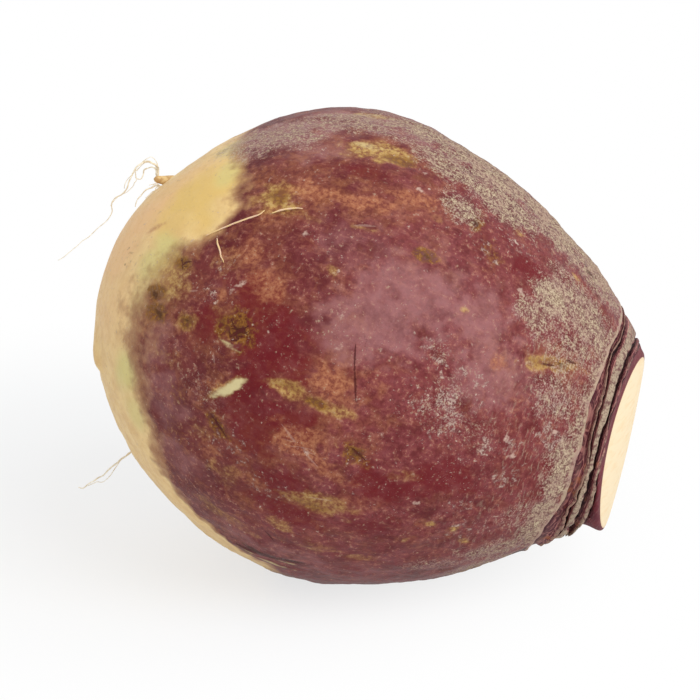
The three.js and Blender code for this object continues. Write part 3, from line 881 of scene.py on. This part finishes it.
def thinStrokes(tree, name, wobble):
    across = maths("ABSOLUTE", mask(tree, name + "Across"))
    ahead = maths("ABSOLUTE", mask(tree, name + "Ahead"))
    edge = maths("ADD", across, joined(ahead, ahead))
    line = between(maths("ADD", edge, wobble), 0.5, 1.3, 1.0, 0.0)
    return joined(line, between(ahead, 0.9, 1.1, 1.0, 0.0))


def buildSkinMaterial():
    finish = skinFinish
    material, tree, shader = newMaterial("rutabaga skin")
    coords = axisCoords(tree)
    broad = noisePattern(coords, 0.07, 3)
    patchy = noisePattern(coords, 0.25, 5, 0.65)
    cloudy = noisePattern(stretched(coords, (-0.16, 0.2, 0.2)), 1.0, 5, 0.7, 0.6)
    grain = noisePattern(coords, 0.9, 4, 0.65)
    fine = noisePattern(coords, 2.2, 3, 0.65)
    fibres = noisePattern(stretched(coords, (0.12, 0.8, 0.8)), 1.0, 4, 0.6)
    bands = noisePattern(stretched(coords, (1.5, 0.42, 0.42)), 1.0, 3, 0.65, 0.8)
    crown = mask(tree, "crown")

    skinTone = blend(between(broad, 0.4, 0.62), finish["purpleDark"], finish["purpleMid"])
    skinTone = over(skinTone, between(patchy, 0.42, 0.66), 0.5, finish["purpleMid"])
    rosy = joined(between(patchy, 0.3, 0.6), maths("SUBTRACT", 1, mask(tree, "rootward")))
    skinTone = over(skinTone, rosy, 0.75, finish["purpleRose"])
    rootward = mask(tree, "rootward")
    warmth = joined(between(cloudy, 0.5, 0.68), between(rootward, 0, 1, 0.3, 1))
    skinTone = over(skinTone, warmth, 0.6, finish["warm"])
    crimson = roughened(mask(tree, "crimson"), patchy, 0.9, 0.1, 0.8)
    halo = roughened(mask(tree, "warm"), cloudy, 1.4, 0.2, 1.1)
    skinTone = over(skinTone, halo, 0.5, finish["warm"])
    skinTone = over(skinTone, between(fibres, 0.52, 0.72), 0.3, finish["fibre"])
    flecks = joined(between(grain, 0.53, 0.68), between(patchy, 0.36, 0.6, 0.3, 1.0))
    skinTone = over(skinTone, flecks, 0.6, finish["fibre"])
    skinTone = over(skinTone, between(grain, 0.36, 0.5, 1.0, 0.0), 0.6, finish["purpleDark"])
    skinTone = over(skinTone, crimson, 0.78, finish["crimson"])
    # dusty bloom, partly painted highlight on the near middle
    bloomAndHighlight = roughened(mask(tree, "lilacBloomAndHighlight"), patchy, 1.5, -0.1, 1.3)
    skinTone = over(skinTone, bloomAndHighlight, 0.66, finish["bloomAndHighlight"])

    capTone = blend(between(patchy, 0.35, 0.65), finish["tanDark"], finish["tan"])
    capTone = over(capTone, mask(tree, "blush"), 0.8, finish["blush"])
    capTone = blend(mask(tree, "gold"), capTone, finish["gold"])
    capTone = over(capTone, mask(tree, "green"), 0.8, finish["green"])
    capTone = over(capTone, between(bands, 0.5, 0.7), 0.1, finish["tanDark"])
    capTone = over(capTone, between(grain, 0.55, 0.75), 0.2, finish["tanDark"])
    capPush = summed((patchy, 0.6), (cloudy, 0.4))
    capShare = roughened(mask(tree, "cap"), capPush, 0.9, 0.12, 0.95)
    seam = joined(capShare, maths("SUBTRACT", 1.0, capShare))
    tone = blend(capShare, skinTone, capTone)
    tone = over(tone, seam, 1.6, finish["warm"])

    streaky = summed((cloudy, 0.5), (fibres, 0.5))
    for kind, source in (("ochre", streaky), ("orange", streaky), ("olive", grain)):
        edge = patchEdges[kind]
        share = roughened(mask(tree, kind), source, edge["break"], edge["low"], edge["high"])
        share = joined(share, between(grain, 0.36, 0.54, 0.45, 1.0))
        toneHere = blend(between(grain, 0.4, 0.64), finish[kind + "Dark"], finish[kind])
        tone = over(tone, share, edge["cover"], toneHere)
    tone = over(tone, roughened(mask(tree, "pale"), grain, 0.5, 0.2, 0.95), 0.9, finish["pale"])

    streaks = joined(between(bands, 0.52, 0.7), crown)
    tone = over(tone, streaks, 0.5, finish["rim"])
    troughs = joined(between(bands, 0.3, 0.46, 1.0, 0.0), crown)
    tone = over(tone, troughs, 0.45, finish["purpleDark"])

    crust = summed((grain, 0.75), (fine, 0.25))
    crust = blend(crown, crust, summed((bands, 0.6), (grain, 0.4)))
    gaps = weaker(between(cloudy, 0.48, 0.64), 0.25)
    scurf = roughened(maths("SUBTRACT", mask(tree, "scurf"), gaps), crust, 3.2, 0.25, 0.95)
    under = roughened(mask(tree, "scurf"), patchy, 1.0, 0.2, 1.0)
    tone = over(tone, under, 0.5, finish["crust"])
    dust = joined(between(mask(tree, "scurf"), 0.05, 0.5), between(fine, 0.5, 0.62))
    tone = over(tone, dust, 0.55, finish["fleck"])
    scurfTone = blend(between(fine, 0.36, 0.6), finish["scurfDark"], finish["scurf"])
    scurfTone = over(scurfTone, between(patchy, 0.42, 0.6), 0.5, finish["scurfPink"])
    scurfTone = blend(between(grain, 0.4, 0.5, 0.8, 0.0), scurfTone, finish["crust"])
    tone = over(tone, scurf, 0.9, scurfTone)

    coarse = noisePattern(coords, 0.75, 4, 0.6)
    clumps = roughened(mask(tree, "clumped"), coarse, 4.0, 0.55, 1.2)
    clumpTone = blend(between(fine, 0.4, 0.56), finish["crust"], finish["clump"])
    tone = over(tone, clumps, 0.58, clumpTone)
    lifted = weaker(mask(tree, "speckled"), 0.06)
    specks = between(maths("ADD", lifted, fine), 0.67, 0.74)
    specks = maths("MAXIMUM", specks, between(maths("ADD", lifted, coarse), 0.68, 0.72))
    specks = joined(specks, between(patchy, 0.43, 0.58, 0.08, 1.0))
    specks = maths("MAXIMUM", specks, roughened(mask(tree, "fleck"), grain, 1.8, 0.3, 1.0))
    tone = over(tone, specks, 0.7, finish["fleck"])
    rim = roughened(mask(tree, "rim"), crust, 3.0, 0.2, 1.0)
    rimTone = blend(between(patchy, 0.45, 0.6), finish["rim"], finish["scurfPink"])
    tone = over(tone, rim, 0.85, rimTone)
    tone = over(tone, roughened(mask(tree, "dark"), grain, 1.4, 0.3, 0.9), 0.8, finish["dark"])

    wobble = weaker(maths("SUBTRACT", fine, 0.5), 2.0)
    scratches = thinStrokes(tree, "scratch", wobble)
    # the cracks drawn dark, partly as painted shade inside them
    cracksAndShade = thinStrokes(tree, "crackAndShade", wobble)
    tone = over(tone, scratches, 0.22, finish["fleck"])
    tone = over(tone, cracksAndShade, 0.78, finish["crackAndShade"])
    # painted shade over the skin turned in under the neck
    tone = over(tone, mask(tree, "shadedUnderNeck"), 0.85, finish["dark"])
    feed(shader.inputs["Base Color"], tone)
    shader.inputs["Specular IOR Level"].default_value = 0.14

    gloss = between(grain, 0.3, 0.7, 0.38, 0.55)
    gloss = maths("MAXIMUM", gloss, weaker(scurf, 0.85))
    feed(shader.inputs["Roughness"], gloss)

    height = summed((grain, 0.6), (fine, 0.4), (scurf, 0.5), (streaks, 0.3), (specks, 0.3), (cracksAndShade, -0.9))
    addBump(shader, height, 0.8, 0.25)
    return material


neckFinish = {
    "purple": colour(86, 24, 40),
    "purpleLight": colour(184, 122, 114),
    # painted shade for the grooves
    "groove": colour(38, 12, 18),
    "crest": colour(182, 162, 138),
    "crestDark": colour(128, 106, 90),
    "crestPink": colour(158, 112, 98),
    "rust": colour(178, 108, 66),
    "stump": colour(110, 34, 44),
    "stumpGrey": colour(138, 104, 98),
    "cut": colour(248, 226, 186),
    "cutWarm": colour(244, 210, 156),
    "cutEdge": colour(232, 200, 160),
}


def buildNeckMaterial():
    finish = neckFinish
    material, tree, shader = newMaterial("leaf scars")
    coords = axisCoords(tree)
    fine = noisePattern(coords, 2.2, 3, 0.65)
    patchy = noisePattern(coords, 0.25, 4, 0.6)
    rowPlace = tree.nodes.new("ShaderNodeCombineXYZ")  # thin lines that run round the neck
    feed(rowPlace.inputs[0], weaker(mask(tree, "row"), 2.4))
    feed(rowPlace.inputs[1], weaker(noisePattern(coords, 0.16, 2), 9.0))
    rows = noisePattern(rowPlace.outputs[0], 1.0, 3, 0.55)
    bands = noisePattern(stretched(coords, (3.0, 0.22, 0.22)), 1.0, 3, 0.6, 0.3)
    low = mask(tree, "low")

    tone = blend(between(rows, 0.46, 0.62), finish["purple"], finish["purpleLight"])
    rust = joined(between(patchy, 0.54, 0.68), low)
    tone = over(tone, rust, 0.6, finish["rust"])
    tone = over(tone, between(bands, 0.52, 0.66), 0.45, finish["crestDark"])
    stumpShare = weaker(between(bands, 0.52, 0.68), 0.5)
    stumpTone = blend(stumpShare, finish["stump"], finish["stumpGrey"])
    stumpTone = blend(between(patchy, 0.36, 0.56, 0.6, 0.0), stumpTone, finish["purple"])
    tone = blend(mask(tree, "stump"), tone, stumpTone)
    # painted shade laid over the grooves
    tone = over(tone, mask(tree, "groove"), 0.95, finish["groove"])
    crestTone = blend(mask(tree, "paleCrest"), finish["crestPink"], finish["crest"])
    crestTone = blend(between(fine, 0.38, 0.58, 0.8, 0.0), crestTone, finish["crestDark"])
    grain = noisePattern(coords, 0.7, 3, 0.65)
    crestTone = blend(between(grain, 0.4, 0.5, 0.7, 0.0), crestTone, finish["purple"])
    crestShare = roughened(mask(tree, "crest"), bands, 0.8, 0.3, 0.7)
    tone = over(tone, crestShare, 0.92, crestTone)
    feed(shader.inputs["Base Color"], tone)
    shader.inputs["Roughness"].default_value = 0.7
    shader.inputs["Specular IOR Level"].default_value = 0.3
    addBump(shader, summed((rows, 0.7), (bands, 0.7)), 0.9, 0.35)
    return material


def buildCutMaterial():
    finish = neckFinish
    material, tree, shader = newMaterial("cut flesh")
    coords = axisCoords(tree)
    patchy = noisePattern(coords, 0.25, 4, 0.6)
    sawn = noisePattern(stretched(coords, (0.3, 0.12, 0.9)), 1.0, 3, 0.6)
    tone = over(finish["cut"], between(sawn, 0.45, 0.7), 0.6, finish["cutWarm"])
    tone = blend(roughened(mask(tree, "cutEdge"), patchy, 0.5, 0.3, 0.9), tone, finish["cutEdge"])
    feed(shader.inputs["Base Color"], tone)
    shader.inputs["Roughness"].default_value = 0.55
    addBump(shader, sawn, 0.5, 0.3)
    return material


skin.data.materials.append(buildSkinMaterial())
neck.data.materials.append(buildNeckMaterial())
neck.data.materials.append(buildCutMaterial())
cutVertices = onCut & (neckPlain < neckPiece["cutInside"])
for polygon in neck.data.polygons:
    polygon.material_index = int(all(cutVertices[v] for v in polygon.vertices))
finishPiece(skin, "rutabaga_root")
finishPiece(neck, "rutabaga_root")
print("skin and neck finished")


def smoothPath(points, perSpan):
    # a curve through every point, as evenly spaced stations
    points = [np.array(p, float) for p in points]
    ends = [2 * points[0] - points[1]] + points + [2 * points[-1] - points[-2]]
    path = []
    for before, start, end, after in zip(ends, ends[1:], ends[2:], ends[3:]):
        for t in np.arange(perSpan) / perSpan:
            square = (2 * before - 5 * start + 4 * end - after) * t ** 2
            cube = (3 * start - before - 3 * end + after) * t ** 3
            path.append(0.5 * (2 * start + (end - before) * t + square + cube))
    return np.array(path + [points[-1]])


def strandModel(name, strands, sides=3):
    # tapered strands: a curve with a round bevel for each, made a mesh
    deselectAll()
    bpy.ops.curve.primitive_nurbs_path_add(location=(0, 0, 0))
    piece = bpy.context.object
    piece.name = name
    piece.data.splines.clear()
    for path, radii in strands:
        spline = piece.data.splines.new("POLY")
        spline.points.add(len(path) - 1)
        for point, place, radius in zip(spline.points, path, radii):
            point.co = (*(place * mm), 1)
            point.radius = radius
    piece.data.bevel_depth = mm
    piece.data.bevel_resolution = sides
    piece.data.use_fill_caps = True
    bpy.ops.object.convert(target="MESH")
    piece = bpy.context.object
    piece.data.name = name
    bpy.ops.object.mode_set(mode="EDIT")
    bpy.ops.mesh.select_all(action="SELECT")
    bpy.ops.mesh.remove_doubles(threshold=0.00001)
    bpy.ops.mesh.normals_make_consistent(inside=False)
    bpy.ops.object.mode_set(mode="OBJECT")
    bpy.ops.object.shade_smooth()
    return piece


# the dry side roots: points as along, risen and near, on a plane turned to the near side. They
# wander and kink a little, and finer twins beside them stray further and further off
fineRoots = {
    "nearTurn": 18,
    "wander": 0.16, "kink": 2.2, "uneven": 0.2,
    "twins": 2, "stray": 2.2, "strayKink": 6, "strayRise": 2.2, "twinThickness": 0.5,
    "fine_root_long": {
        "diameter": 0.5, "tip": 0.16,
        "points": [
            (-58.2, 23, 0.4), (-58.3, 24.2, 0.5), (-58.8, 25.3, 0.5), (-59.4, 26.1, 0.8), (-60.6, 26.4, 1.1),
            (-62.2, 26.1, 1.3), (-63.6, 24.7, 1.2), (-64.4, 22.6, 1), (-64.6, 20.4, 0.7), (-64.4, 18.4, 0.4),
            (-65.2, 16.5, 0.2), (-66.6, 15.2, 0), (-66.8, 13.4, -0.3), (-66.1, 11.4, -0.5),
            (-66.9, 8.8, -0.7), (-68.8, 5.4, -1), (-71.6, 0.7, -1.4), (-74.8, -4.3, -2),
        ],
    },
    "fine_root_curl": {
        "diameter": 0.45, "tip": 0.2,
        "points": [
            (-58.5, 23, -0.1), (-58.9, 24.1, -0.8), (-59.2, 24.9, -1.3), (-60.1, 25.4, -1.6),
            (-61.2, 25.2, -2), (-62.2, 24.3, -2.2), (-62.1, 22.9, -2.1), (-62.4, 21.8, -1.8),
            (-63.4, 21.6, -1.5), (-63.9, 22.6, -1.4),
        ],
    },
    "fine_root_short": {
        "diameter": 0.5, "tip": 0.2,
        "points": [
            (-55.4, 21.2, 0), (-57, 21.6, 0), (-58.3, 21.4, 0), (-59, 20.6, 0.4), (-59.9, 19.5, 0.6),
            (-60.7, 18, 0.6), (-61.3, 16.3, 0.4), (-61.3, 14.8, 0),
        ],
    },
    "fine_root_straight": {
        "diameter": 0.5, "tip": 0.24,
        "points": [
            (-40.6, -41.6, 0), (-42.6, -44.4, 0.3), (-43.8, -46.2, 0.2), (-45.1, -48.6, 0),
            (-46.3, -50.8, -0.3), (-48.3, -53.4, -0.6), (-49.8, -55.4, -1), (-50.9, -55.7, -1.2),
        ],
    },
}
# the stub that the curls grew on, from inside the skin to its blunt end, and its radius at both
rootStub = {
    "path": [(-53.2, 23.8, 0.3), (-56.2, 23.4, 0.3), (-59.1, 22.8, 0.4)],
    "foot": 2.0, "tip": 0.8, "taper": 1.4, "uneven": 0.08, "blunt": 16,
}
# hairs that lie on the skin: along and around of each point, how high they lie and their radius
hairLie = {"clear": 0.15, "wander": 0.12, "tip": 0.07, "middle": 0.15}
lyingHairs = [
    [(-39.6, 54.2), (-36, 51.0), (-32.2, 48.0), (-29.6, 46.2), (-28.6, 44.6)],
    [(-26.8, 45.2), (-24.4, 43.6), (-20.4, 42.4)],
    [(-36.8, 54.6), (-35.6, 57.4), (-33.4, 61.2)],
]
rootFinish = {"fibre": colour(252, 244, 224), "fibreDark": colour(226, 210, 180),
              "stub": colour(234, 200, 140), "stubDark": colour(198, 156, 100), "hair": colour(232, 194, 166)}


def buildFibreMaterial(name, light, dark):
    material, tree, shader = newMaterial(name)
    coords = axisCoords(tree)
    share = between(noisePattern(coords, 0.7, 3, 0.6), 0.4, 0.62)
    feed(shader.inputs["Base Color"], blend(share, dark, light))
    shader.inputs["Roughness"].default_value = 0.75
    return material


def fineRootPath(points):
    turn = math.radians(fineRoots["nearTurn"])
    side, up = math.sin(turn), math.cos(turn)
    return [(along, risen * side - near * up, risen * up + near * side) for along, risen, near in points]


fibreMaterial = buildFibreMaterial("dry root fibre", rootFinish["fibre"], rootFinish["fibreDark"])
for index, name in enumerate(["fine_root_long", "fine_root_curl", "fine_root_short", "fine_root_straight"]):
    fineRoot = fineRoots[name]
    path = smoothPath(fineRootPath(fineRoot["points"]), 8)
    for axis in range(3):
        path[:, axis] += fineRoots["wander"] * noiseField(path, fineRoots["kink"], 40 + index * 3 + axis)
    share = np.linspace(0, 1, len(path))
    radii = 0.5 * (fineRoot["diameter"] + (fineRoot["tip"] - fineRoot["diameter"]) * share)
    radii = radii * (1 + fineRoots["uneven"] * noiseField(path, 0.9, 60 + index))
    drawn = [(setDown(path) / mm, radii)]
    for twin in range(fineRoots["twins"] if name != "fine_root_straight" else 1):
        # finer hairs beside it that stray from it more and more
        stray = np.minimum(share[:, None] * fineRoots["strayRise"], 1) * fineRoots["stray"]
        seeds = [90 + index * 7 + twin * 3 + axis for axis in range(3)]
        offset = np.stack([noiseField(path, fineRoots["strayKink"], seed) for seed in seeds], axis=1)
        beside = path + stray * offset
        last = int(len(path) * (0.75 - 0.25 * twin))
        drawn.append((setDown(beside[:last]) / mm, fineRoots["twinThickness"] * radii[:last]))
    strand = strandModel(name + "_look", drawn)
    strand.data.materials.append(fibreMaterial)
    finishPiece(strand, name)

path = smoothPath(fineRootPath(rootStub["path"]), 9)
steps = np.linspace(0, 1, len(path))
radii = rootStub["tip"] + (rootStub["foot"] - rootStub["tip"]) * (1 - steps) ** rootStub["taper"]
radii = radii * (1 + rootStub["uneven"] * noiseField(path, 1.6, 71))
radii = radii * np.sqrt(1.04 - steps ** rootStub["blunt"])
stub = strandModel("root_stub_look", [(setDown(path) / mm, radii)], 6)
stub.data.materials.append(buildFibreMaterial("root stub", rootFinish["stub"], rootFinish["stubDark"]))
finishPiece(stub)

hairs = []
for index, hair in enumerate(lyingHairs):
    spots = smoothPath([(along, around, 0) for along, around in hair], 10)
    height = skinRadius(spots[:, 0]) + lumpHeight(spots[:, 0], spots[:, 1]) + hairLie["clear"]
    path = placesOnAxis(spots[:, 0], height, spots[:, 1])
    path += hairLie["wander"] * noiseField(path, 1.8, 80 + index)[:, None]
    belly = np.sin(np.linspace(0.25, math.pi - 0.1, len(path)))
    hairs.append((setDown(path) / mm, hairLie["tip"] + hairLie["middle"] * belly))
lying = strandModel("lying_hairs_look", hairs)
lying.data.materials.append(buildFibreMaterial("lying hairs", rootFinish["hair"], rootFinish["stub"]))
finishPiece(lying)
print("fine roots finished")


def seenDirectly(tree):
    # one for camera, glossy and transmission rays
    path = tree.nodes.new("ShaderNodeLightPath")
    glossy = maths("MAXIMUM", path.outputs["Is Camera Ray"], path.outputs["Is Glossy Ray"])
    return maths("MAXIMUM", glossy, path.outputs["Is Transmission Ray"])


# the floor glows all but white to the eye, less so in the shade round the root: middle of the shade,
# how far it reaches and how much of the glow is left in it
floorShade = {"middle": (-0.07, 0.05, 0), "inner": 0.06, "outer": 0.16, "glow": 0.68, "size": 8}


def buildStage():
    deselectAll()
    bpy.ops.mesh.primitive_plane_add(size=floorShade["size"], location=(0, 0, 0))
    floor = bpy.context.object
    floor.name = "floor"
    material, tree, shader = newMaterial("white floor")
    shader.inputs["Base Color"].default_value = (0.86, 0.88, 0.89, 1)
    shader.inputs["Roughness"].default_value = 0.9
    place = tree.nodes.new("ShaderNodeTexCoord")
    distance = tree.nodes.new("ShaderNodeVectorMath")
    distance.operation = "DISTANCE"
    distance.inputs[1].default_value = floorShade["middle"]
    tree.links.new(place.outputs["Object"], distance.inputs[0])
    shade = floorShade
    away = between(distance.outputs["Value"], shade["inner"], shade["outer"], shade["glow"], 1)
    glow = tree.nodes.new("ShaderNodeEmission")
    merge = tree.nodes.new("ShaderNodeMixShader")
    feed(merge.inputs[0], maths("MULTIPLY", seenDirectly(tree), away))
    tree.links.new(shader.outputs[0], merge.inputs[1])
    tree.links.new(glow.outputs[0], merge.inputs[2])
    tree.links.new(merge.outputs[0], tree.nodes["Material Output"].inputs["Surface"])
    floor.data.materials.append(material)


skyStrength = 0.74


def buildWorld():
    world = bpy.data.worlds.new("studio")
    bpy.context.scene.world = world
    world.use_nodes = True
    tree = world.node_tree
    lit = tree.nodes["Background"]
    lit.inputs["Color"].default_value = (1, 1, 1, 1)
    lit.inputs["Strength"].default_value = skyStrength
    white = tree.nodes.new("ShaderNodeBackground")
    merge = tree.nodes.new("ShaderNodeMixShader")
    white.inputs["Color"].default_value = (1, 1, 1, 1)
    feed(merge.inputs[0], seenDirectly(tree))
    tree.links.new(lit.outputs[0], merge.inputs[1])
    tree.links.new(white.outputs[0], merge.inputs[2])
    tree.links.new(merge.outputs[0], tree.nodes["World Output"].inputs["Surface"])


cameraSetup = {
    "azimuth": 6, "elevation": 18, "distance": 0.62, "frameWidth": 0.1735, "aim": (-0.0024, 0, 0.0569),
    "sensor": 36,
}
keyLight = {
    "right": 0.46, "up": 0.5, "back": 0.75, "distance": 1.1, "aim": (0, 0, 0.05), "size": 0.8, "energy": 6.4,
}


def viewBasis():
    a = math.radians(cameraSetup["azimuth"])
    e = math.radians(cameraSetup["elevation"])
    right = Vector((math.cos(a), math.sin(a), 0))
    up = Vector((-math.sin(a) * math.sin(e), math.cos(a) * math.sin(e), math.cos(e)))
    back = Vector((math.sin(a) * math.cos(e), -math.cos(a) * math.cos(e), math.sin(e)))
    return right, up, back


def addCamera():
    right, up, back = viewBasis()
    bpy.ops.object.camera_add(location=Vector(cameraSetup["aim"]) + back * cameraSetup["distance"])
    camera = bpy.context.object
    camera.rotation_euler = Matrix((right, up, back)).transposed().to_euler()
    camera.data.lens = cameraSetup["sensor"] * cameraSetup["distance"] / cameraSetup["frameWidth"]
    bpy.context.scene.camera = camera


def addLight():
    right, up, back = viewBasis()
    toKey = (right * keyLight["right"] + up * keyLight["up"] + back * keyLight["back"]).normalized()
    bpy.ops.object.light_add(type="AREA", location=Vector(keyLight["aim"]) + toKey * keyLight["distance"])
    key = bpy.context.object
    key.data.shape = "DISK"
    key.data.size = keyLight["size"]
    key.data.energy = keyLight["energy"]
    key.rotation_euler = toKey.to_track_quat("Z", "Y").to_euler()


buildStage()
buildWorld()
addCamera()
addLight()
bpy.context.scene.view_settings.view_transform = "Standard"
print("stage ready")
